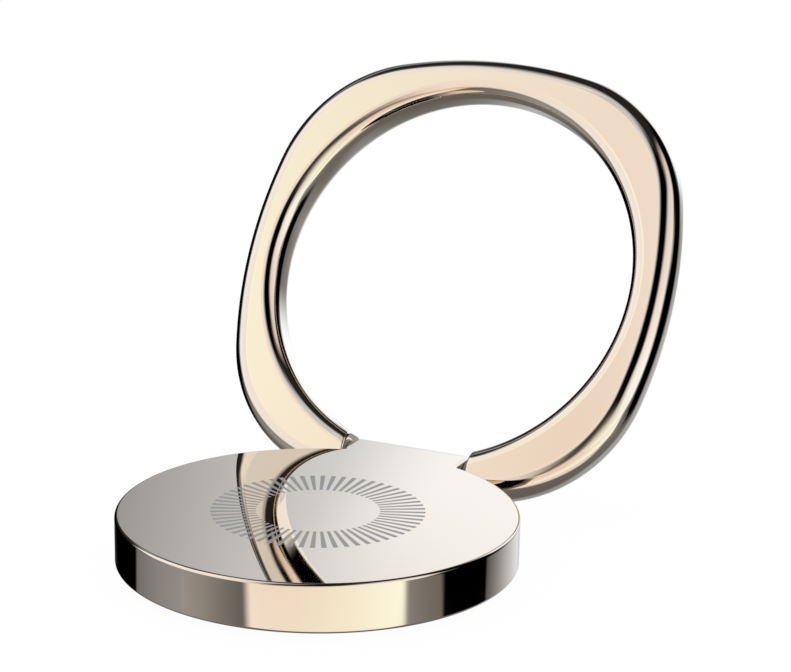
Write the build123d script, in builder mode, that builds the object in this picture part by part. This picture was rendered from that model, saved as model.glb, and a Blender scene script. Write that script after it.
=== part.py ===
from build123d import *
import os
from math import atan2, cos, degrees, radians, sin, sqrt

# Phone ring holder: a round housing that swivels on a stuck-down base plate,
# and a finger ring hinged to it.
# Millimetres, +Z up. The origin is on the swivel axis, on the underside of the adhesive pad.
# The ring stands open here. Folded flat, it lies around the housing, in the same plane.

os.makedirs("parts", exist_ok=True)

# Round housing
disc_radius = 16.0
disc_height = 3.9
disc_edge_round = 0.25
phone_gap = 0.6            # from the phone's surface to the housing's underside

# Finger ring: a rounded square of arcs with a round hole, open where the lug stands
fold_gap = 0.35            # all round, between the folded ring and the housing
ring_rim_width = 3.65      # at the middle of a side, where the rim is narrowest
ring_side_radius = 40.4
ring_corner_radius = 13.2
ring_thickness = 3.9
ring_outer_round = 1.65
ring_inner_round = 1.35
ring_end_round = 0.2
ring_open_angle = 119.6    # degrees from folded flat

# Hinge
hinge_setback = 1.55       # pin axis behind the housing's wall
hinge_rise = 0.15          # pin axis above the middle of the housing's height
lug_width = 10.6
lug_inset = 0.25           # lug's back end inside the folded ring's outline
lug_nose_round = 1.85
lug_root_round = 0.4
pin_radius = 0.8
pin_grip = 2.4             # depth of the pin in each end of the ring
pin_chamfer = 0.15
sleeve_wall = 0.3
sleeve_slit = 0.4
sleeve_clearance = 0.03    # radial, between pin and sleeve
washer_radius = 1.65
washer_thickness = 0.35
washer_play = 0.05         # each side of a hinge washer, and around the pin

# Swivel
housing_wall = 1.9         # around the base plate's recess
plate_rim_gap = 0.3        # radial, between base plate and housing
pad_margin = 0.4           # radial, from the pad's edge to the base plate's
pad_thickness = 0.4
base_plate_thickness = 0.8
inner_seat_ledge = 1.05    # radial, from the recess in to the inner plate's seat
inner_plate_thickness = 0.6
seat_clearance = 0.05      # between pieces that seat in each other
bush_flange_radius = 5.0
bush_flange_thickness = 0.3
bush_wall = 0.45
rivet_radius = 1.5
rivet_head_radius = 2.6
rivet_foot_thickness = 0.4
rivet_head_thickness = 0.35
rivet_head_chamfer = 0.2
spring_outer_radius = 4.0
spring_thickness = 0.2
spring_cone_height = 0.25
flat_washer_radius = 3.5
flat_washer_thickness = 0.25
chamber_clearance = 0.2    # around and above the spring and the rivet's head

# Countersunk screws of the inner plate
screw_count = 3
screw_inset = 3.5          # screw axes inside the inner plate's edge
screw_radius = 0.6
screw_head_radius = 1.2
screw_reach = 1.1          # into the housing above the inner plate
slot_width = 0.3
slot_depth = 0.2

# Heights, from the phone's surface up
housing_bottom = phone_gap
base_plate_bottom = pad_thickness
base_plate_top = base_plate_bottom + base_plate_thickness
flange_bottom = base_plate_top + seat_clearance
inner_plate_bottom = flange_bottom + bush_flange_thickness
inner_plate_top = inner_plate_bottom + inner_plate_thickness
spring_bottom = inner_plate_top + seat_clearance
spring_top = spring_bottom + spring_cone_height + spring_thickness
flat_washer_top = spring_top + flat_washer_thickness
rivet_top = flat_washer_top + rivet_head_thickness
chamber_top = rivet_top + chamber_clearance

# The largest share of a wall that the rounding of one of its edges takes
largest_round = 0.48

# Places and radii that follow
hinge_y = disc_radius + hinge_setback
hinge_z = housing_bottom + disc_height / 2 + hinge_rise
lug_side = lug_width / 2
ring_end = lug_side + washer_thickness + 2 * washer_play
ring_hole_radius = disc_radius + fold_gap
ring_half_width = ring_hole_radius + ring_rim_width
ring_wall = min(ring_rim_width, ring_thickness)
sleeve_inner_radius = pin_radius + sleeve_clearance
sleeve_outer_radius = sleeve_inner_radius + sleeve_wall
bush_inner_radius = rivet_radius + seat_clearance
bush_outer_radius = bush_inner_radius + bush_wall
recess_radius = disc_radius - housing_wall
base_plate_radius = recess_radius - plate_rim_gap
pad_radius = base_plate_radius - pad_margin
inner_seat_radius = recess_radius - inner_seat_ledge
inner_plate_radius = inner_seat_radius - seat_clearance
screw_circle_radius = inner_plate_radius - screw_inset
chamber_radius = spring_outer_radius + chamber_clearance

# The open ring's plane: its own Y runs from the ring's centre to the hinge, its Z out of the ring's back
open_angle = radians(ring_open_angle)
towards_hinge = Vector(0, cos(open_angle), -sin(open_angle))
ring_back = Vector(0, sin(open_angle), cos(open_angle))
ring_centre = Vector(0, hinge_y, hinge_z) - towards_hinge * hinge_y - ring_back * hinge_rise
ring_plane = Plane(origin=ring_centre, x_dir=(1, 0, 0), z_dir=ring_back)

# The outline's side arcs and corner arcs meet tangent to each other, so their centres and sweeps follow
side_centre = ring_half_width - ring_side_radius
centre_distance = ring_side_radius - ring_corner_radius
corner_centre = (side_centre + sqrt(2 * centre_distance**2 - side_centre**2)) / 2
side_sweep = 2 * degrees(atan2(corner_centre, corner_centre - side_centre))


# Housing with the hinge lug, hollow underneath for the swivel
with BuildPart() as disc_housing:
    with BuildSketch(Plane.XY.offset(housing_bottom)):
        Circle(disc_radius)
        Rectangle(lug_width, ring_half_width - lug_inset, align=(Align.CENTER, Align.MIN))
        lug_roots = vertices().sort_by(Axis.Y)[-4:-2]
        fillet(lug_roots, radius=lug_root_round)
    extrude(amount=disc_height)
    lug_nose = edges().filter_by(Axis.X).group_by(Axis.Y)[-1]
    fillet(lug_nose, radius=min(lug_nose_round, largest_round * disc_height))
    top_rim = faces().filter_by(Axis.Z).sort_by(Axis.Z)[-1].edges().filter_by(Axis.X, reverse=True)
    # Rim, lug sides and nose meet tangent to each other, so this rounding runs on around the underside
    fillet(top_rim, radius=disc_edge_round)
    with BuildSketch(Plane.XY.offset(housing_bottom)):
        Circle(recess_radius)
    extrude(amount=inner_plate_bottom - housing_bottom, mode=Mode.SUBTRACT)
    with BuildSketch(Plane.XY.offset(inner_plate_bottom)):
        Circle(inner_seat_radius)
    extrude(amount=inner_plate_thickness, mode=Mode.SUBTRACT)
    with BuildSketch(Plane.XY.offset(inner_plate_top)):
        Circle(chamber_radius)
    extrude(amount=chamber_top - inner_plate_top, mode=Mode.SUBTRACT)
    with BuildSketch(Plane.XY.offset(inner_plate_top)):
        with PolarLocations(screw_circle_radius, screw_count):
            Circle(screw_radius)
    extrude(amount=screw_reach, mode=Mode.SUBTRACT)
    with BuildSketch(Plane.YZ.offset(-lug_side)):
        with Locations((hinge_y, hinge_z)):
            Circle(sleeve_outer_radius)
    extrude(amount=lug_width, mode=Mode.SUBTRACT)

disc_housing.part.label = "disc_housing"
export_step(disc_housing.part, "parts/disc_housing.step")


# Finger ring: the outline of eight tangent arcs, rounded like a cushion, with its two ends beside the lug
with BuildPart() as finger_ring:
    with BuildSketch(ring_plane):
        with BuildLine():
            for quarter in range(4):
                turn = 90 * quarter
                side_point = Vector(side_centre, 0).rotate(Axis.Z, turn)
                corner_point = Vector(corner_centre, corner_centre).rotate(Axis.Z, turn)
                CenterArc(side_point, ring_side_radius, turn - side_sweep / 2, side_sweep)
                CenterArc(corner_point, ring_corner_radius, turn + side_sweep / 2, 90 - side_sweep)
        make_face()
    extrude(amount=ring_thickness / 2, both=True)
    fillet(edges().filter_by(GeomType.CIRCLE), radius=min(ring_outer_round, largest_round * ring_wall))
    with BuildSketch(ring_plane):
        Circle(ring_hole_radius)
    extrude(amount=ring_thickness, both=True, mode=Mode.SUBTRACT)
    hole_edges = edges(Select.LAST).filter_by(GeomType.CIRCLE)
    fillet(hole_edges, radius=min(ring_inner_round, largest_round * ring_wall))
    with BuildSketch(ring_plane):
        Rectangle(2 * ring_end, 2 * ring_half_width, align=(Align.CENTER, Align.MIN))
    extrude(amount=ring_thickness, both=True, mode=Mode.SUBTRACT)
    end_faces = faces().filter_by(Axis.X)
    fillet(end_faces.edges(), radius=ring_end_round)
    with BuildSketch(Plane.YZ.offset(-ring_end - pin_grip)):
        with Locations((hinge_y, hinge_z)):
            Circle(pin_radius)
    extrude(amount=2 * (ring_end + pin_grip), mode=Mode.SUBTRACT)

finger_ring.part.label = "finger_ring"
export_step(finger_ring.part, "parts/finger_ring.step")


# Hinge pin, pressed into both ends of the ring
with BuildPart() as hinge_pin:
    with BuildSketch(Plane.YZ.offset(-ring_end - pin_grip)):
        with Locations((hinge_y, hinge_z)):
            Circle(pin_radius)
    extrude(amount=2 * (ring_end + pin_grip))
    chamfer(edges().filter_by(GeomType.CIRCLE), length=pin_chamfer)

hinge_pin.part.label = "hinge_pin"
export_step(hinge_pin.part, "parts/hinge_pin.step")


# Friction sleeve in the lug, slit along its underside so that it grips the pin like a spring
with BuildPart() as hinge_sleeve:
    with BuildSketch(Plane.YZ.offset(-lug_side)):
        with Locations((hinge_y, hinge_z)):
            Circle(sleeve_outer_radius)
            Circle(sleeve_inner_radius, mode=Mode.SUBTRACT)
        with Locations((hinge_y, hinge_z - sleeve_inner_radius)):
            Rectangle(sleeve_slit, 2 * sleeve_wall, mode=Mode.SUBTRACT)
    extrude(amount=lug_width)

hinge_sleeve.part.label = "hinge_sleeve"
export_step(hinge_sleeve.part, "parts/hinge_sleeve.step")


# Hinge washers, one in each gap between lug and ring
for side, start in (("left", -ring_end + washer_play), ("right", lug_side + washer_play)):
    with BuildPart() as hinge_washer:
        with BuildSketch(Plane.YZ.offset(start)):
            with Locations((hinge_y, hinge_z)):
                Circle(washer_radius)
                Circle(pin_radius + washer_play, mode=Mode.SUBTRACT)
        extrude(amount=washer_thickness)
    hinge_washer.part.label = "hinge_washer_" + side
    export_step(hinge_washer.part, "parts/hinge_washer_" + side + ".step")


# Inner plate, screwed up into the housing
with BuildPart() as inner_plate:
    with BuildSketch(Plane.XY.offset(inner_plate_bottom)):
        Circle(inner_plate_radius)
        Circle(bush_outer_radius, mode=Mode.SUBTRACT)
    extrude(amount=inner_plate_thickness)
    with Locations(Plane.XY.offset(inner_plate_bottom).rotated((180, 0, 0))):
        with PolarLocations(screw_circle_radius, screw_count):
            CounterSinkHole(screw_radius + seat_clearance, screw_head_radius + seat_clearance)

inner_plate.part.label = "inner_plate"
export_step(inner_plate.part, "parts/inner_plate.step")


# Countersunk screws of the inner plate, heads flush with its underside
with BuildPart() as inner_plate_screws:
    head_height = screw_head_radius - screw_radius
    screw_length = inner_plate_thickness + screw_reach
    standing = (Align.CENTER, Align.CENTER, Align.MIN)
    with PolarLocations(screw_circle_radius, screw_count):
        with Locations((0, 0, inner_plate_bottom)):
            Cone(screw_head_radius, screw_radius, head_height, align=standing)
            Cylinder(screw_radius, screw_length, align=standing)
            Box(2 * screw_head_radius, slot_width, 2 * slot_depth, mode=Mode.SUBTRACT)

inner_plate_screws.part.label = "inner_plate_screws"
export_step(inner_plate_screws.part, "parts/inner_plate_screws.step")


# Flanged swivel bush, its flange between the two plates
with BuildPart() as swivel_bush:
    with BuildSketch(Plane.XY.offset(flange_bottom)):
        Circle(bush_flange_radius)
    extrude(amount=bush_flange_thickness)
    with BuildSketch(Plane.XY.offset(flange_bottom)):
        Circle(bush_outer_radius)
    extrude(amount=inner_plate_top - flange_bottom)
    with BuildSketch(Plane.XY.offset(flange_bottom)):
        Circle(bush_inner_radius)
    extrude(amount=inner_plate_top - flange_bottom, mode=Mode.SUBTRACT)

swivel_bush.part.label = "swivel_bush"
export_step(swivel_bush.part, "parts/swivel_bush.step")


# Coned spring washer: its rim stands on the inner plate, its inner edge lifts the flat washer
with BuildPart() as disc_spring:
    with BuildSketch(Plane.XZ):
        with BuildLine():
            Polyline(
                (bush_inner_radius, spring_top - spring_thickness),
                (spring_outer_radius, spring_bottom),
                (spring_outer_radius, spring_bottom + spring_thickness),
                (bush_inner_radius, spring_top),
                close=True,
            )
        make_face()
    revolve(axis=Axis.Z)

disc_spring.part.label = "disc_spring"
export_step(disc_spring.part, "parts/disc_spring.step")


# Flat washer under the rivet's head
with BuildPart() as spring_washer:
    with BuildSketch(Plane.XY.offset(spring_top)):
        Circle(flat_washer_radius)
        Circle(bush_inner_radius, mode=Mode.SUBTRACT)
    extrude(amount=flat_washer_thickness)

spring_washer.part.label = "spring_washer"
export_step(spring_washer.part, "parts/spring_washer.step")


# Swivel rivet: a foot sunk in the base plate, a shank through the bush, and a peened head
with BuildPart() as swivel_rivet:
    with BuildSketch(Plane.XY.offset(base_plate_bottom)):
        Circle(rivet_head_radius)
    extrude(amount=rivet_foot_thickness)
    with BuildSketch(Plane.XY.offset(base_plate_bottom)):
        Circle(rivet_radius)
    extrude(amount=rivet_top - base_plate_bottom)
    with BuildSketch(Plane.XY.offset(flat_washer_top)):
        Circle(rivet_head_radius)
    extrude(amount=rivet_head_thickness)
    chamfer(edges().group_by(Axis.Z)[-1], length=rivet_head_chamfer)

swivel_rivet.part.label = "swivel_rivet"
export_step(swivel_rivet.part, "parts/swivel_rivet.step")


# Base plate, stuck to the phone and sunk in the housing's underside
with BuildPart() as base_plate:
    with BuildSketch(Plane.XY.offset(base_plate_bottom)):
        Circle(base_plate_radius)
        Circle(rivet_radius, mode=Mode.SUBTRACT)
    extrude(amount=base_plate_thickness)
    with BuildSketch(Plane.XY.offset(base_plate_bottom)):
        Circle(rivet_head_radius)
    extrude(amount=rivet_foot_thickness, mode=Mode.SUBTRACT)

base_plate.part.label = "base_plate"
export_step(base_plate.part, "parts/base_plate.step")


# Adhesive pad
with BuildPart() as adhesive_pad:
    with BuildSketch(Plane.XY):
        Circle(pad_radius)
    extrude(amount=pad_thickness)

adhesive_pad.part.label = "adhesive_pad"
export_step(adhesive_pad.part, "parts/adhesive_pad.step")
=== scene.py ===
# %% [markdown]
# # A phone ring holder, dressed for its photograph
# The real object is a small die-cast stand for a phone: a round housing, a hinge lug on its back edge and a
# finger ring that stands up on that hinge. It is polished like a mirror and plated in a pale champagne gold.
# A mirror has almost no look of its own. What we see on it is the studio around it, so most of this lesson is
# about two things: the exact place of the camera, and the soft boxes and dark flags that the metal reflects.

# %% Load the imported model
from math import asin, atan, cos, pi, radians, sin

import bpy
from mathutils import Matrix, Vector


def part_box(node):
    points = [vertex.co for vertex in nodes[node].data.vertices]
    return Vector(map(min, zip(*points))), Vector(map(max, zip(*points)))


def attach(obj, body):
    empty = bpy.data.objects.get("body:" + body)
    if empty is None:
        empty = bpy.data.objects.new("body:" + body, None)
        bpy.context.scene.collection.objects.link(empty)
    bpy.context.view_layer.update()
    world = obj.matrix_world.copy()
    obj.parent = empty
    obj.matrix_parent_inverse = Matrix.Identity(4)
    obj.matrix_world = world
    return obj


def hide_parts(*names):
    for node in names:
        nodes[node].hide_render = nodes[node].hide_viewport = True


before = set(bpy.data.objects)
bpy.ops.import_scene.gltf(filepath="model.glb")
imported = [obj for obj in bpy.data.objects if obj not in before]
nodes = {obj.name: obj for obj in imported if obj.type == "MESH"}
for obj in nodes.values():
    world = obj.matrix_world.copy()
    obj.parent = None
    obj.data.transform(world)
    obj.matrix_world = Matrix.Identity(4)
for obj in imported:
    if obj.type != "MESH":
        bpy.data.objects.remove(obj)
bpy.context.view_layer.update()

MM = 0.001
print("pieces from the CAD model:", ", ".join(sorted(nodes)))

# %% [markdown]
# ## The camera
# The photograph looks down at the stand from its front, a little from the right, through a long lens. We could
# aim a camera by eye, but a mirror shows every degree of error as a shifted reflection. So the camera gets
# measured values: the angle round the object, the height above the table, the lens and a slight roll.

# %% Camera
AZIMUTH, ELEVATION, ROLL = radians(24.694), radians(15.122), radians(-1.087)
LENS, SENSOR_WIDTH = 102.995, 36      # in mm, as on a real camera
NEAREST, FARTHEST = 0.01, 5           # in metres
CAMERA_PLACE = Vector((75.971, -151.186, 64.574)) * MM

backwards = Vector((sin(AZIMUTH) * cos(ELEVATION), -cos(AZIMUTH) * cos(ELEVATION), sin(ELEVATION)))
sideways = Vector((cos(AZIMUTH), sin(AZIMUTH), 0))
upwards = backwards.cross(sideways)
upright = Matrix((sideways, upwards, backwards)).transposed()

bpy.ops.object.camera_add(location=CAMERA_PLACE)
camera = bpy.context.object
camera.name = "studio_camera"
camera.data.lens = LENS
camera.data.sensor_width = SENSOR_WIDTH
camera.data.clip_start, camera.data.clip_end = NEAREST, FARTHEST
camera.rotation_euler = (upright @ Matrix.Rotation(-ROLL, 3, "Z")).to_euler()
bpy.context.scene.camera = camera
print("camera at", [round(v / MM, 1) for v in CAMERA_PLACE], "mm with a", LENS, "mm lens")

# %% [markdown]
# ## A short way to write shader maths
# Shader maths in Blender is a chain of Math nodes. Written out by hand that chain is long and hard to read.
# The class below wraps one socket, so that `1 - mask * 2` adds the nodes itself. Everything else, such as a
# texture or a colour mix, comes from the one method `add` of the class after it.

# %% Shader helpers
class Signal:
    """One number that flows through a node tree. Arithmetic on it adds Math nodes."""

    def __init__(self, sheet, socket):
        self.sheet, self.socket = sheet, socket

    def maths(self, operation, *others, clamp=False):
        node = self.sheet.tree.nodes.new("ShaderNodeMath")
        node.operation, node.use_clamp = operation, clamp
        for slot, value in zip(node.inputs, others):
            self.sheet.feed(slot, value)
        return Signal(self.sheet, node.outputs[0])

    def __add__(self, other): return self.maths("ADD", self, other)
    def __radd__(self, other): return self.maths("ADD", other, self)
    def __sub__(self, other): return self.maths("SUBTRACT", self, other)
    def __rsub__(self, other): return self.maths("SUBTRACT", other, self)
    def __mul__(self, other): return self.maths("MULTIPLY", self, other)
    def __rmul__(self, other): return self.maths("MULTIPLY", other, self)
    def __truediv__(self, other): return self.maths("DIVIDE", self, other)
    def __abs__(self): return self.maths("ABSOLUTE", self)

    def at_least(self, other): return self.maths("MAXIMUM", self, other)
    def at_most(self, other): return self.maths("MINIMUM", self, other)
    def share_plus(self, other): return self.maths("ADD", self, other, clamp=True)
    def fraction(self): return self.maths("FRACT", self)
    def root(self): return self.maths("SQRT", self)

    def eased(self, start, end):
        """0 before start, 1 after end, and a soft ramp between them."""
        ramp = self.sheet.add("ShaderNodeMapRange", interpolation_type="SMOOTHSTEP",
                              inputs={"Value": self, "From Min": start, "From Max": end})
        return Signal(self.sheet, ramp.outputs["Result"])


class Sheet:
    """A material's or a world's node tree."""

    def __init__(self, owner):
        owner.use_nodes = True
        self.tree = owner.node_tree
        self.tree.nodes.clear()

    def feed(self, slot, value):
        if isinstance(value, Signal):
            value = value.socket
        if isinstance(value, bpy.types.NodeSocket):
            self.tree.links.new(value, slot)
        else:
            slot.default_value = value

    def add(self, kind, inputs=(), **settings):
        node = self.tree.nodes.new(kind)
        for name, value in settings.items():
            setattr(node, name, value)
        for name, value in dict(inputs).items():
            self.feed(node.inputs[name], value)
        return node

    def number(self, socket):
        return Signal(self, socket)

    def dot(self, vector, direction):
        """How far vector points along a direction."""
        return self.number(self.add("ShaderNodeVectorMath", operation="DOT_PRODUCT",
                                    inputs={0: vector, 1: direction}).outputs["Value"])

    def mix(self, share, first, second):
        """A colour between two colours."""
        node = self.add("ShaderNodeMix", data_type="RGBA", inputs={0: share})
        self.feed(node.inputs[6], first)
        self.feed(node.inputs[7], second)
        return node.outputs[2]


def rgb(red, green, blue):
    return (red, green, blue, 1)


def grey(level):
    return rgb(level, level, level)


print("shader helpers ready")

# %% [markdown]
# ## The studio that the metal sees
# A photographer lights polished metal with large soft boxes and black flags, because the metal shows nothing
# else. We could place real glowing cards around the object. Here the cards are painted on the world instead,
# by direction, so that they are far away and cast no stray light. Each card has a name, its azimuth, elevation
# and tilt in degrees, its half width and half height in metres at one metre's distance, how soft its sides and
# ends are, and then its lower two and upper two corners: how bright each is, and which coloured gel is on it.
# Later cards lie over earlier ones. The numbers of the cards come from a least squares fit to the reflections
# in the photograph, made in a program outside this file, and were then rounded.

# %% Cards of the studio
WHITE = Vector((1, 1, 1))
ICE = Vector((0.76, 0.89, 1))
COOL = Vector((0.87, 0.92, 1))
PEACH = Vector((1, 0.88, 0.78))
EMBER = Vector((1, 0.51, 0.34))
MINT = Vector((0.91, 1, 0.88))
BLACK = 0 * WHITE

CARDS = (
    # name, azimuth, elevation, tilt, half width, half height, softness of sides and of ends,
    # lower left, lower right, upper left and upper right corner
    ("table behind", 100, -31, 17, 0.67, 0.38, 0.3, 0.4,
     0.45 * ICE, 0.4 * COOL, 0.45 * COOL, 1.3 * COOL),
    ("high soft box, left", 236, 50, -14, 0.73, 0.63, 0.4, 0.3,
     BLACK, 1.15 * PEACH, 0.25 * PEACH, 1.5 * ICE),
    ("large soft box, left", 226, 22, -11, 1.04, 0.66, 0.4, 0.3,
     1.3 * ICE, PEACH, 1.25 * COOL, 0.95 * PEACH),
    ("white sheet in front", 308, -9, -7, 0.68, 0.78, 0.4, 0.2,
     PEACH, 0.75 * WHITE, 0.8 * PEACH, 1.3 * COOL),
    ("strip box, right", 338, 14, -78, 0.33, 0.78, 0.2, 0.3,
     0.55 * PEACH, 1.25 * MINT, 1.5 * ICE, 1.5 * ICE),
    ("high soft box, right", 349, 37, -6, 0.55, 0.53, 0.3, 0.3,
     1.5 * ICE, 1.15 * PEACH, 0.55 * EMBER, 1.05 * ICE),
    ("soft box behind", 88, 16, -24, 0.66, 0.4, 0.4, 0.3,
     1.5 * ICE, 1.5 * ICE, 1.3 * COOL, 1.15 * COOL),
    ("large flag, right", 31, -3, -1, 0.6, 0.45, 0.4, 0.4,
     BLACK, BLACK, BLACK, BLACK),
    ("high flag, right", 38, 38, -22, 0.34, 0.39, 0.2, 0.2,
     BLACK, BLACK, BLACK, BLACK),
    ("flag, back left", 154, -10, -8, 0.74, 0.4, 0.4, 0.4,
     BLACK, BLACK, BLACK, BLACK),
    ("flag over the camera", 294, 47, -25, 0.34, 0.49, 0.3, 0.4,
     BLACK, BLACK, BLACK, BLACK),
    ("small card behind", 116, 12, 57, 0.22, 0.08, 0.05, 0.05,
     COOL, BLACK, 1.5 * ICE, 0.75 * COOL),
    ("dim card at the camera", 277, 18, 26, 0.19, 0.3, 0.4, 0.3,
     0.15 * WHITE, 0.15 * WHITE, BLACK, BLACK),
    ("bright strip, left", 234, 44, 21, 0.13, 0.2, 0.05, 0.2,
     1.4 * MINT, 0.9 * PEACH, MINT, 1.05 * WHITE),
    ("narrow sheet behind", 137, 36, 4, 0.73, 0.06, 0.2, 0.2,
     0.8 * COOL, BLACK, BLACK, 0.85 * ICE),
    ("paper in front", 298, -22, -1, 1, 0.2, 0.2, 0.2,
     1.1 * WHITE, 1.25 * MINT, 0.7 * EMBER, 1.25 * MINT),
    ("grey paper, right", 359, -22, 33, 0.16, 0.11, 0.05, 0.4,
     0.25 * WHITE, 0.3 * WHITE, 0.35 * WHITE, BLACK),
    ("black paper, right", 34, -18, 3, 0.38, 0.15, 0.05, 0.2,
     BLACK, BLACK, BLACK, BLACK),
    ("paper, back right", 71, -21, 6, 0.42, 0.13, 0.05, 0.4,
     0.25 * COOL, COOL, BLACK, 1.2 * COOL),
    ("grey paper, front left", 240, -32, 18, 0.33, 0.3, 0.1, 0.3,
     0.2 * WHITE, 0.2 * WHITE, 0.45 * WHITE, 0.1 * WHITE),
    ("grey paper, left", 195, -28, -14, 0.36, 0.25, 0.05, 0.4,
     0.15 * COOL, 0.35 * COOL, 0.25 * COOL, 0.45 * COOL),
    ("overhead soft box, left", 207, 63, 15, 0.23, 0.17, 0.05, 0.1,
     1.4 * ICE, 1.05 * PEACH, 0.8 * ICE, ICE),
)
TABLE_LOW, TABLE_HIGH, CEILING = 0.14, 0.22, 0.02
print(len(CARDS), "cards around the object:", "; ".join(card[0] for card in CARDS))

# %% [markdown]
# ## The world
# The world shows itself in three ways. The camera sees plain white, as the photograph does. Matt surfaces are
# lit by that same even white. Only mirror reflections see the cards. The Light Path node tells which is asked.

# %% World
def card_axes(azimuth, elevation, tilt):
    """The directions to a card's middle, along its width and along its height."""
    a, e, r = radians(azimuth), radians(elevation), radians(tilt)
    middle = Vector((cos(e) * cos(a), cos(e) * sin(a), sin(e)))
    across = Vector((-sin(a), cos(a), 0))
    along = middle.cross(across)
    return middle, across * cos(r) + along * sin(r), along * cos(r) - across * sin(r)


world = bpy.data.worlds.new("studio")
bpy.context.scene.world = world
sky = Sheet(world)
direction = sky.add("ShaderNodeTexCoord").outputs["Generated"]
height = sky.dot(direction, (0, 0, 1))
LEAST_FACING = 0.08        # a card is seen only from its front
FACING_RAMP = 0.1
HORIZON_START, HORIZON_END = -0.02, 0.08
table = sky.mix((height + 1).at_most(1), grey(TABLE_LOW), grey(TABLE_HIGH))
shade = sky.mix(height.eased(HORIZON_START, HORIZON_END), table, grey(CEILING))
for name, azimuth, elevation, tilt, half_width, half_height, soft_side, soft_end, *corners in CARDS:
    middle, across, along = card_axes(azimuth, elevation, tilt)
    facing = sky.dot(direction, middle)
    depth = facing.at_least(LEAST_FACING)
    u = sky.dot(direction, across) / depth
    v = sky.dot(direction, along) / depth
    on_card = (abs(u).eased(half_width + soft_side / 2, half_width - soft_side / 2)
               * abs(v).eased(half_height + soft_end / 2, half_height - soft_end / 2)
               * facing.eased(LEAST_FACING, LEAST_FACING + FACING_RAMP))
    sideways_share = (u / (2 * half_width)).share_plus(0.5)
    upward_share = (v / (2 * half_height)).share_plus(0.5)
    low = sky.mix(sideways_share, rgb(*corners[0]), rgb(*corners[1]))
    high = sky.mix(sideways_share, rgb(*corners[2]), rgb(*corners[3]))
    shade = sky.mix(on_card, shade, sky.mix(upward_share, low, high))
seen_in_metal = sky.add("ShaderNodeLightPath").outputs["Is Glossy Ray"]
lit = sky.mix(seen_in_metal, rgb(1, 1, 1), shade)
background = sky.add("ShaderNodeBackground", inputs={"Color": lit, "Strength": 1.0})
sky.add("ShaderNodeOutputWorld", inputs={"Surface": background.outputs[0]})
world.cycles.sampling_method = "NONE"
scene = bpy.context.scene
scene.view_settings.view_transform = "Standard"
print("world with", len(sky.tree.nodes), "nodes")

# %% [markdown]
# ## The floor
# The photograph has no floor to be seen, only white. Ours is a white sheet under the pad that glows for the
# camera and keeps a trace of the object's shadow. It hides nothing from below, and the metal doesn't see it,
# because the cards already hold what lies under the horizon.

# %% Floor
FLOOR_HALF = 3.0
FLOOR_DROP = 0.02 * MM
SHADOW_SHARE = 0.03

bpy.ops.object.select_all(action="DESELECT")
bpy.ops.mesh.primitive_plane_add(size=2 * FLOOR_HALF, location=(0, 0, -FLOOR_DROP))
floor = bpy.context.object
floor.name = "studio_floor"
floor.visible_glossy = False
paper = bpy.data.materials.new("white_paper")
sheet = Sheet(paper)
matt = sheet.add("ShaderNodeBsdfDiffuse", inputs={"Color": rgb(1, 1, 1)}).outputs[0]
glow = sheet.add("ShaderNodeEmission", inputs={"Color": rgb(1, 1, 1), "Strength": 1.0}).outputs[0]
gone = sheet.add("ShaderNodeBsdfTransparent").outputs[0]
path = sheet.add("ShaderNodeLightPath")
glowing = sheet.number(path.outputs["Is Camera Ray"]) * (1 - SHADOW_SHARE)
lit_paper = sheet.add("ShaderNodeMixShader", inputs={0: glowing, 1: matt, 2: glow}).outputs[0]
from_below = sheet.add("ShaderNodeNewGeometry").outputs["Backfacing"]
both_sides = sheet.add("ShaderNodeMixShader",
                       inputs={0: from_below, 1: lit_paper, 2: gone}).outputs[0]
sheet.add("ShaderNodeOutputMaterial", inputs={"Surface": both_sides})
floor.data.materials.append(paper)
print("floor at", -FLOOR_DROP / MM, "mm")

# %% [markdown]
# ## Drawing an outline with spins
# The CAD pieces stay the frame for size and motion, but their curves are cut into flat facets, and a mirror
# shows every facet. So the two polished castings are modelled again, finely, from the same measures. The
# outline of each is made of straight lines and arcs. One vertex draws it: an extrude draws a line, and a spin
# about the arc's centre draws an arc. Filled and extruded, the outline becomes a body.

# %% Drawing tools
GRAIN = 0.35 * MM          # length of one facet along an arc
LEAST_STEPS = 6
SHARP = radians(60)
SMOOTH = radians(30)       # flatter edges than this are shaded as one curve
NEAR = 0.01 * MM           # two lengths closer than this count as equal


def lone_vertex(name, place):
    """A new object of one vertex, in edit mode."""
    bpy.ops.object.select_all(action="DESELECT")
    bpy.ops.mesh.primitive_plane_add(size=MM)
    piece = bpy.context.object
    piece.name = piece.data.name = name
    bpy.ops.object.mode_set(mode="EDIT")
    bpy.ops.mesh.select_mode(type="VERT")
    bpy.ops.mesh.select_all(action="SELECT")
    bpy.ops.mesh.merge(type="CENTER")
    bpy.ops.transform.translate(value=place)
    return piece


def draw_line(step):
    bpy.ops.mesh.extrude_region_move(TRANSFORM_OT_translate={"value": step})


def draw_arc(centre, radius, sweep):
    """A positive sweep goes clockwise, seen from above."""
    steps = max(LEAST_STEPS, round(abs(sweep) * radius / GRAIN))
    bpy.ops.mesh.spin(steps=steps, angle=sweep, center=(*centre, 0), axis=(0, 0, 1))


def fill_and_raise(bottom, thickness):
    bpy.ops.mesh.select_all(action="SELECT")
    bpy.ops.mesh.edge_face_add()
    bpy.ops.transform.translate(value=(0, 0, bottom))
    bpy.ops.mesh.extrude_region_move(TRANSFORM_OT_translate={"value": (0, 0, thickness)})
    bpy.ops.mesh.select_all(action="SELECT")
    bpy.ops.mesh.normals_make_consistent(inside=False)


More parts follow.
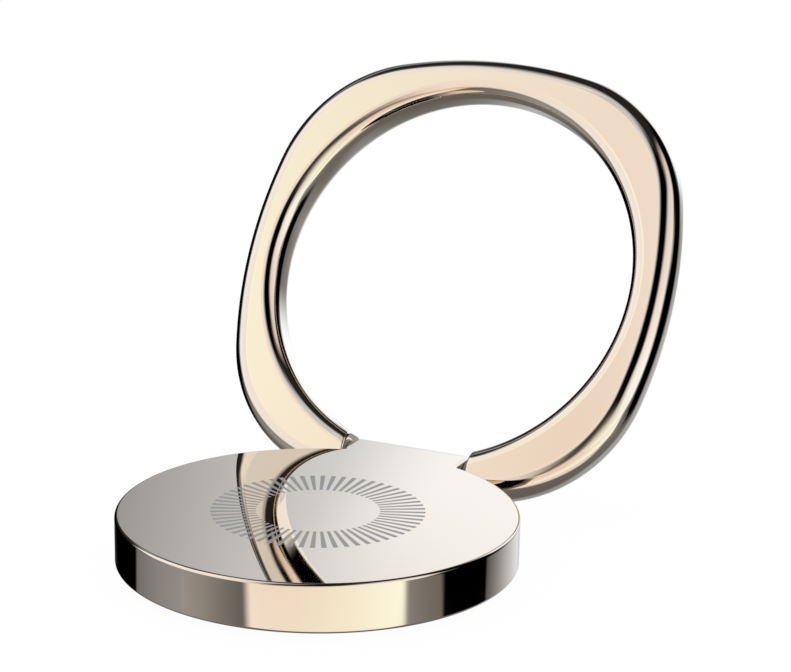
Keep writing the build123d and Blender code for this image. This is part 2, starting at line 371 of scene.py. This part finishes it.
def choose_edges(piece, test):
    """Selects the sharp edges whose two ends pass a test, and returns how many."""
    bpy.ops.mesh.select_mode(type="EDGE")
    bpy.ops.mesh.select_all(action="DESELECT")
    bpy.ops.mesh.edges_select_sharp(sharpness=SHARP)
    bpy.ops.object.mode_set(mode="OBJECT")
    points = [vertex.co for vertex in piece.data.vertices]
    sharp = {edge.index for edge in piece.data.edges if edge.select}
    for part in (*piece.data.vertices, *piece.data.polygons):
        part.select = False
    for edge in piece.data.edges:
        edge.select = edge.index in sharp and test(*(points[i] for i in edge.vertices))
    count = sum(edge.select for edge in piece.data.edges)
    bpy.ops.object.mode_set(mode="EDIT")
    return count


def round_off(width, segments):
    bpy.ops.mesh.bevel(offset=width, segments=segments, profile=0.5, affect="EDGES",
                       loop_slide=False, clamp_overlap=False)


def smooth_off(piece):
    """Rounds look smooth, flats stay dead flat."""
    bpy.ops.object.select_all(action="DESELECT")
    piece.select_set(True)
    bpy.context.view_layer.objects.active = piece
    bpy.ops.object.shade_smooth_by_angle(angle=SMOOTH)
    weigh = piece.modifiers.new("flat_faces_lead", "WEIGHTED_NORMAL")
    weigh.mode, weigh.keep_sharp = "FACE_AREA", True
    bpy.ops.object.modifier_apply(modifier=weigh.name)


print("one facet along an arc is", GRAIN / MM, "mm long")

# %% [markdown]
# ## The round housing
# It is one casting: a disc with a lug on its back edge that carries the hinge pin. Its outline is a big arc,
# two small hollow arcs at the lug's roots and the lug's three straight sides. The lug's nose gets a wide
# rounding, then every sharp edge gets a fine one, as the buffing wheel leaves it.

# %% Round housing
DISC_RADIUS, DISC_BOTTOM, DISC_HEIGHT = 16 * MM, 0.6 * MM, 3.9 * MM
DISC_EDGE, RIM_FACETS, NOSE_FACETS, CIRCLE_FACETS = 0.25 * MM, 8, 28, 256
LUG_SIDE, LUG_BACK, LUG_NOSE, LUG_ROOT = 5.3 * MM, 19.75 * MM, 1.85 * MM, 0.4 * MM
# each hollow from below: its radius and the height of its roof
RECESS, SEAT, CHAMBER = (14.1 * MM, 1.55 * MM), (13.05 * MM, 2.15 * MM), (4.2 * MM, 3.45 * MM)
HINGE = Vector((0, 17.55, 2.7)) * MM

root_x = LUG_SIDE + LUG_ROOT
root_y = ((DISC_RADIUS + LUG_ROOT) ** 2 - root_x ** 2) ** 0.5
root_turn = atan(root_y / root_x)

housing = lone_vertex("polished_housing", (LUG_SIDE, LUG_BACK, 0))
draw_line((0, root_y - LUG_BACK, 0))
draw_arc((root_x, root_y), LUG_ROOT, -root_turn)
draw_arc((0, 0), DISC_RADIUS, pi + 2 * root_turn)
draw_arc((-root_x, root_y), LUG_ROOT, -root_turn)
draw_line((0, LUG_BACK - root_y, 0))
fill_and_raise(DISC_BOTTOM, DISC_HEIGHT)


def level(a, b):
    return abs(a.z - b.z) < NEAR


back_edges = choose_edges(housing, lambda a, b: level(a, b) and min(a.y, b.y) > LUG_BACK - NEAR)
round_off(LUG_NOSE, NOSE_FACETS)
rim_edges = choose_edges(housing, lambda a, b: True)
round_off(DISC_EDGE, RIM_FACETS)
bpy.ops.mesh.select_all(action="DESELECT")
bpy.ops.object.mode_set(mode="OBJECT")
underside = min(housing.data.polygons, key=lambda face: face.normal.z * face.area)
underside.select = True
bpy.ops.object.mode_set(mode="EDIT")
bpy.ops.mesh.delete(type="ONLY_FACE")
bpy.ops.mesh.select_non_manifold()
bpy.ops.mesh.primitive_circle_add(vertices=CIRCLE_FACETS, radius=RECESS[0],
                                  location=(0, 0, DISC_BOTTOM))
bpy.ops.mesh.select_non_manifold()
bpy.ops.mesh.fill(use_beauty=True)
bpy.ops.mesh.select_all(action="DESELECT")
bpy.ops.mesh.select_non_manifold()
height_now, radius_now = DISC_BOTTOM, RECESS[0]
for radius, top in (RECESS, SEAT, CHAMBER):
    if radius != radius_now:
        bpy.ops.mesh.extrude_region_move()
        bpy.ops.transform.resize(value=(radius / radius_now, radius / radius_now, 1),
                                 center_override=(0, 0, height_now))
    bpy.ops.mesh.extrude_region_move(TRANSFORM_OT_translate={"value": (0, 0, top - height_now)})
    height_now, radius_now = top, radius
bpy.ops.mesh.edge_face_add()
bpy.ops.mesh.select_all(action="SELECT")
bpy.ops.mesh.normals_make_consistent(inside=False)
bpy.ops.object.mode_set(mode="OBJECT")
smooth_off(housing)
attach(housing, "housing")
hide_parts("disc_housing")
print("housing:", back_edges, "nose and", rim_edges, "rim edges rounded,",
      len(housing.data.polygons), "faces")

# %% [markdown]
# ## The finger ring
# The ring is a rounded square with a round hole. Each side is a long shallow arc and each corner a tight one,
# and they meet without a kink because each arc starts in the direction in which the last one ends. It stays
# open where the lug stands. It is easiest to model folded flat around the housing, and then to turn up about
# the hinge pin, just as a hand would.

# %% Finger ring
HALF_WIDTH, SIDE_RADIUS, CORNER_RADIUS = 20 * MM, 40.4 * MM, 13.2 * MM
HOLE_RADIUS, RING_END, RING_THICKNESS = 16.35 * MM, 5.75 * MM, 3.9 * MM
OUTER_ROUND, INNER_ROUND, END_ROUND = 1.65 * MM, 1.35 * MM, 0.2 * MM
OUTER_FACETS, INNER_FACETS, END_FACETS = 24, 20, 5
LONG_FACET = 0.7 * MM      # leaves room for the rounding of the ring's ends
OPEN_ANGLE = radians(119.6)

side_centre = HALF_WIDTH - SIDE_RADIUS
centre_distance = SIDE_RADIUS - CORNER_RADIUS
corner = (side_centre + (2 * centre_distance ** 2 - side_centre ** 2) ** 0.5) / 2
side_sweep = 2 * atan(corner / (corner - side_centre))
corner_sweep = pi / 2 - side_sweep
end_turn = asin(RING_END / SIDE_RADIUS)
hole_turn = asin(RING_END / HOLE_RADIUS)
end_y = side_centre + SIDE_RADIUS * cos(end_turn)
hole_y = HOLE_RADIUS * cos(hole_turn)

next_turn = end_turn + LONG_FACET / SIDE_RADIUS
first_step = SIDE_RADIUS * (sin(next_turn) - sin(end_turn))
first_drop = SIDE_RADIUS * (cos(end_turn) - cos(next_turn))

ring = lone_vertex("polished_ring", (RING_END, end_y, 0))
draw_line((first_step, -first_drop, 0))
draw_arc((0, side_centre), SIDE_RADIUS, side_sweep / 2 - next_turn)
for corner_x, corner_y, next_x, next_y in ((1, 1, 1, 0), (1, -1, 0, -1), (-1, -1, -1, 0)):
    draw_arc((corner_x * corner, corner_y * corner), CORNER_RADIUS, corner_sweep)
    draw_arc((next_x * side_centre, next_y * side_centre), SIDE_RADIUS, side_sweep)
draw_arc((-corner, corner), CORNER_RADIUS, corner_sweep)
draw_arc((0, side_centre), SIDE_RADIUS, side_sweep / 2 - next_turn)
draw_line((first_step, first_drop, 0))
draw_line((0, hole_y - end_y, 0))
draw_arc((0, 0), HOLE_RADIUS, -(2 * pi - 2 * hole_turn))
middle_height = DISC_BOTTOM + DISC_HEIGHT / 2
fill_and_raise(middle_height - RING_THICKNESS / 2, RING_THICKNESS)
between = (HOLE_RADIUS + HALF_WIDTH) / 2
outer_edges = choose_edges(
    ring, lambda a, b: level(a, b) and min(a.xy.length, b.xy.length) > between)
round_off(OUTER_ROUND, OUTER_FACETS)
hole_limit = HOLE_RADIUS + NEAR
hole_edges = choose_edges(
    ring, lambda a, b: level(a, b) and max(a.xy.length, b.xy.length) < hole_limit)
round_off(INNER_ROUND, INNER_FACETS)
end_limit = RING_END + NEAR
choose_edges(ring, lambda a, b: max(abs(a.x), abs(b.x)) < end_limit and min(a.y, b.y) > 0)
round_off(END_ROUND, END_FACETS)
bpy.ops.object.mode_set(mode="OBJECT")
smooth_off(ring)
bpy.ops.transform.rotate(value=OPEN_ANGLE, orient_axis="X", orient_type="GLOBAL",
                         center_override=HINGE)
bpy.ops.object.transform_apply(location=True, rotation=True, scale=True)
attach(ring, "ring")
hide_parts("finger_ring")
print("ring:", outer_edges, "outer and", hole_edges, "hole edges rounded,",
      len(ring.data.polygons), "faces")
for piece, node in ((housing, "disc_housing"), (ring, "finger_ring")):
    points = [vertex.co for vertex in piece.data.vertices]
    low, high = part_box(node)
    reach = [(min(p[i] for p in points) - low[i], max(p[i] for p in points) - high[i])
             for i in range(3)]
    print(piece.name, "beside its CAD box, in mm:",
          [(round(a / MM, 3), round(b / MM, 3)) for a, b in reach])

# %% [markdown]
# ## Polished plating
# The two castings are copper and nickel plated, then coated in a pale champagne gold and buffed to a mirror. A
# metallic Principled shader with almost no roughness does that, and its base colour is the colour of the
# plating. Even good buffing leaves a slightly duller film in places, so a weak noise moves the roughness.

# %% Plated metal
PLATING = rgb(0.87, 0.75, 0.63)
MIRROR, FILM = 0.012, 0.015
CLOUD_START, CLOUD_END = 0.3, 0.7


def new_material(name):
    """An empty material with its node tree and its place on the object."""
    material = bpy.data.materials.new(name)
    sheet = Sheet(material)
    return material, sheet, sheet.add("ShaderNodeTexCoord").outputs["Object"]


def finish_material(sheet, shader):
    sheet.add("ShaderNodeOutputMaterial", inputs={"Surface": shader})


def cloud(sheet, place, scale, detail=2.0):
    """Soft noise from 0 to 1, with about so many patches in a metre."""
    noise = sheet.add("ShaderNodeTexNoise",
                      inputs={"Vector": place, "Scale": scale, "Detail": detail})
    return sheet.number(noise.outputs["Fac"]).eased(CLOUD_START, CLOUD_END)


def plated_metal(sheet, place):
    film = cloud(sheet, place, 180.0)
    return sheet.add("ShaderNodeBsdfPrincipled", inputs={
        "Base Color": PLATING, "Metallic": 1.0, "Roughness": MIRROR + FILM * film}).outputs[0]


def dress(material, *names):
    """Puts one material on CAD nodes, without touching their meshes."""
    for name in names:
        slots = nodes[name].data.materials
        slots.clear()
        slots.append(material)
    print(material.name, "on", ", ".join(names))


plating, sheet, place = new_material("champagne_plating")
finish_material(sheet, plated_metal(sheet, place))
ring.data.materials.clear()
ring.data.materials.append(plating)
print(plating.name, "on", ring.name)

# %% [markdown]
# ## A printed ornament
# The middle of the disc carries a small ornament in matt grey ink, screen printed on the mirror: a plain wreath
# of short rays. It needs no picture. The angle round the swivel axis is cut into equal shares, and a little
# less than half of each share is inked.

# %% Printed disc
RAYS = 60
WREATH_INSIDE, WREATH_OUTSIDE = 4.9 * MM, 8.5 * MM
INKED_SHARE = 0.46
SHARPNESS = 0.03 * MM
INK, INK_COVER = rgb(0.3, 0.3, 0.305), 0.92
WHOLE_TURNS = 100          # keeps the angle positive, so that its fraction counts upwards all round
PRINT_DEPTH, PRINT_RAMP = 0.02 * MM, 0.01 * MM
DISC_TOP = DISC_BOTTOM + DISC_HEIGHT

printed, sheet, place = new_material("champagne_plating_printed")
split = sheet.add("ShaderNodeSeparateXYZ", inputs={"Vector": place})
x, y, z = (sheet.number(split.outputs[axis]) for axis in "XYZ")
radius = (x * x + y * y).root()
turn = y.maths("ARCTAN2", y, x) * (RAYS / (2 * pi))
from_ray = abs((turn + (WHOLE_TURNS + 0.5)).fraction() - 0.5) * radius * (2 * pi / RAYS)
half_ray = radius * (INKED_SHARE * pi / RAYS)
on_ray = (from_ray - half_ray).eased(SHARPNESS / 2, -SHARPNESS / 2)
in_wreath = (radius.eased(WREATH_INSIDE - SHARPNESS / 2, WREATH_INSIDE + SHARPNESS / 2)
             * radius.eased(WREATH_OUTSIDE + SHARPNESS / 2, WREATH_OUTSIDE - SHARPNESS / 2))
on_top = z.eased(DISC_TOP - PRINT_DEPTH, DISC_TOP - PRINT_DEPTH + PRINT_RAMP)
ink = sheet.add("ShaderNodeBsdfDiffuse", inputs={"Color": INK}).outputs[0]
finish_material(sheet, sheet.add("ShaderNodeMixShader", inputs={
    0: on_ray * in_wreath * on_top * INK_COVER, 1: plated_metal(sheet, place), 2: ink}).outputs[0])
housing.data.materials.clear()
housing.data.materials.append(printed)
print(printed.name, "on", housing.name, "with", RAYS, "rays")

# %% [markdown]
# ## Steel inside the hinge and the swivel
# The pin and the rivet are turned on a lathe, and the plates are stamped from brushed sheet. Both leave fine
# parallel lines. A noise that is much finer in one direction than in the others draws them, as changes of
# roughness and as a shallow relief. Springs get the straw tint of tempered steel, and screws a thin zinc coat.

# %% Steel
def brushed_steel(name, light, dark, stretch, roughness):
    material, sheet, place = new_material(name)
    stretched = sheet.add("ShaderNodeVectorMath", operation="MULTIPLY",
                          inputs={0: place, 1: stretch})
    lines = cloud(sheet, stretched.outputs["Vector"], 1.0, 3.0)
    patches = cloud(sheet, place, 420.0)
    relief = sheet.add("ShaderNodeBump", inputs={
        "Strength": 0.25, "Distance": 0.01 * MM, "Height": lines.socket})
    shader = sheet.add("ShaderNodeBsdfPrincipled", inputs={
        "Base Color": sheet.mix(patches, light, dark), "Metallic": 1.0,
        "Roughness": roughness + 0.12 * lines, "Normal": relief.outputs["Normal"]})
    finish_material(sheet, shader.outputs[0])
    return material


dress(brushed_steel("turned_pin", rgb(0.66, 0.66, 0.67), rgb(0.58, 0.58, 0.6),
                    stretch=(24000, 300, 300), roughness=0.2),
      "hinge_pin")
dress(brushed_steel("turned_rivet", rgb(0.66, 0.66, 0.67), rgb(0.56, 0.56, 0.58),
                    stretch=(300, 300, 24000), roughness=0.22),
      "swivel_rivet")
dress(brushed_steel("brushed_sheet", rgb(0.64, 0.64, 0.65), rgb(0.56, 0.56, 0.57),
                    stretch=(250, 16000, 250), roughness=0.26),
      "base_plate", "inner_plate", "spring_washer")
dress(brushed_steel("tempered_spring", rgb(0.55, 0.53, 0.5), rgb(0.5, 0.42, 0.3),
                    stretch=(900, 900, 12000), roughness=0.24),
      "disc_spring", "hinge_sleeve")
dress(brushed_steel("zinc_coat", rgb(0.56, 0.57, 0.6), rgb(0.5, 0.5, 0.49),
                    stretch=(3000, 3000, 9000), roughness=0.3),
      "inner_plate_screws")

# %% [markdown]
# ## Plastic and foam
# The thin hinge washers and the swivel's bush are moulded in a hard plastic that slides well. It is dull, very
# slightly mottled and white. The washers are coloured dark grey all the same: that grey is painted shade for
# the two narrow gaps that they sit in, which the even white light would leave bright.
# The pad is a dense dark foam tape. Its cut cells are tiny holes, drawn by a Voronoi texture that dents the
# surface and darkens the colour in each hole as painted shade.

# %% Plastic and foam
def moulded_plastic(name, light, dark):
    material, sheet, place = new_material(name)
    mottle = cloud(sheet, place, 1400.0)
    relief = sheet.add("ShaderNodeBump", inputs={
        "Strength": 0.15, "Distance": 0.01 * MM, "Height": mottle.socket})
    shader = sheet.add("ShaderNodeBsdfPrincipled", inputs={
        "Base Color": sheet.mix(mottle, light, dark), "Roughness": 0.42 + 0.12 * mottle,
        "Normal": relief.outputs["Normal"]})
    finish_material(sheet, shader.outputs[0])
    return material


dress(moulded_plastic("bush_plastic", rgb(0.88, 0.88, 0.86), rgb(0.8, 0.8, 0.77)), "swivel_bush")
# The washers' dark grey is painted shade of the hinge gaps, not the colour of their plastic.
dress(moulded_plastic("washer_plastic", rgb(0.3, 0.3, 0.295), rgb(0.24, 0.24, 0.235)),
      "hinge_washer_left", "hinge_washer_right")

foam, sheet, place = new_material("foam_tape")
cells = sheet.add("ShaderNodeTexVoronoi", inputs={"Vector": place, "Scale": 5200.0})
hole = sheet.number(cells.outputs["Distance"]).eased(0.45, 0.1)
relief = sheet.add("ShaderNodeBump", inputs={
    "Strength": 0.6, "Distance": 0.04 * MM, "Height": (1 - hole).socket})
# The darker colour in the cell holes is painted shade in the pores.
shader = sheet.add("ShaderNodeBsdfPrincipled", inputs={
    "Base Color": sheet.mix(hole, rgb(0.035, 0.035, 0.038), rgb(0.012, 0.012, 0.013)),
    "Roughness": 0.75 + 0.15 * hole, "Normal": relief.outputs["Normal"]})
finish_material(sheet, shader.outputs[0])
dress(foam, "adhesive_pad")
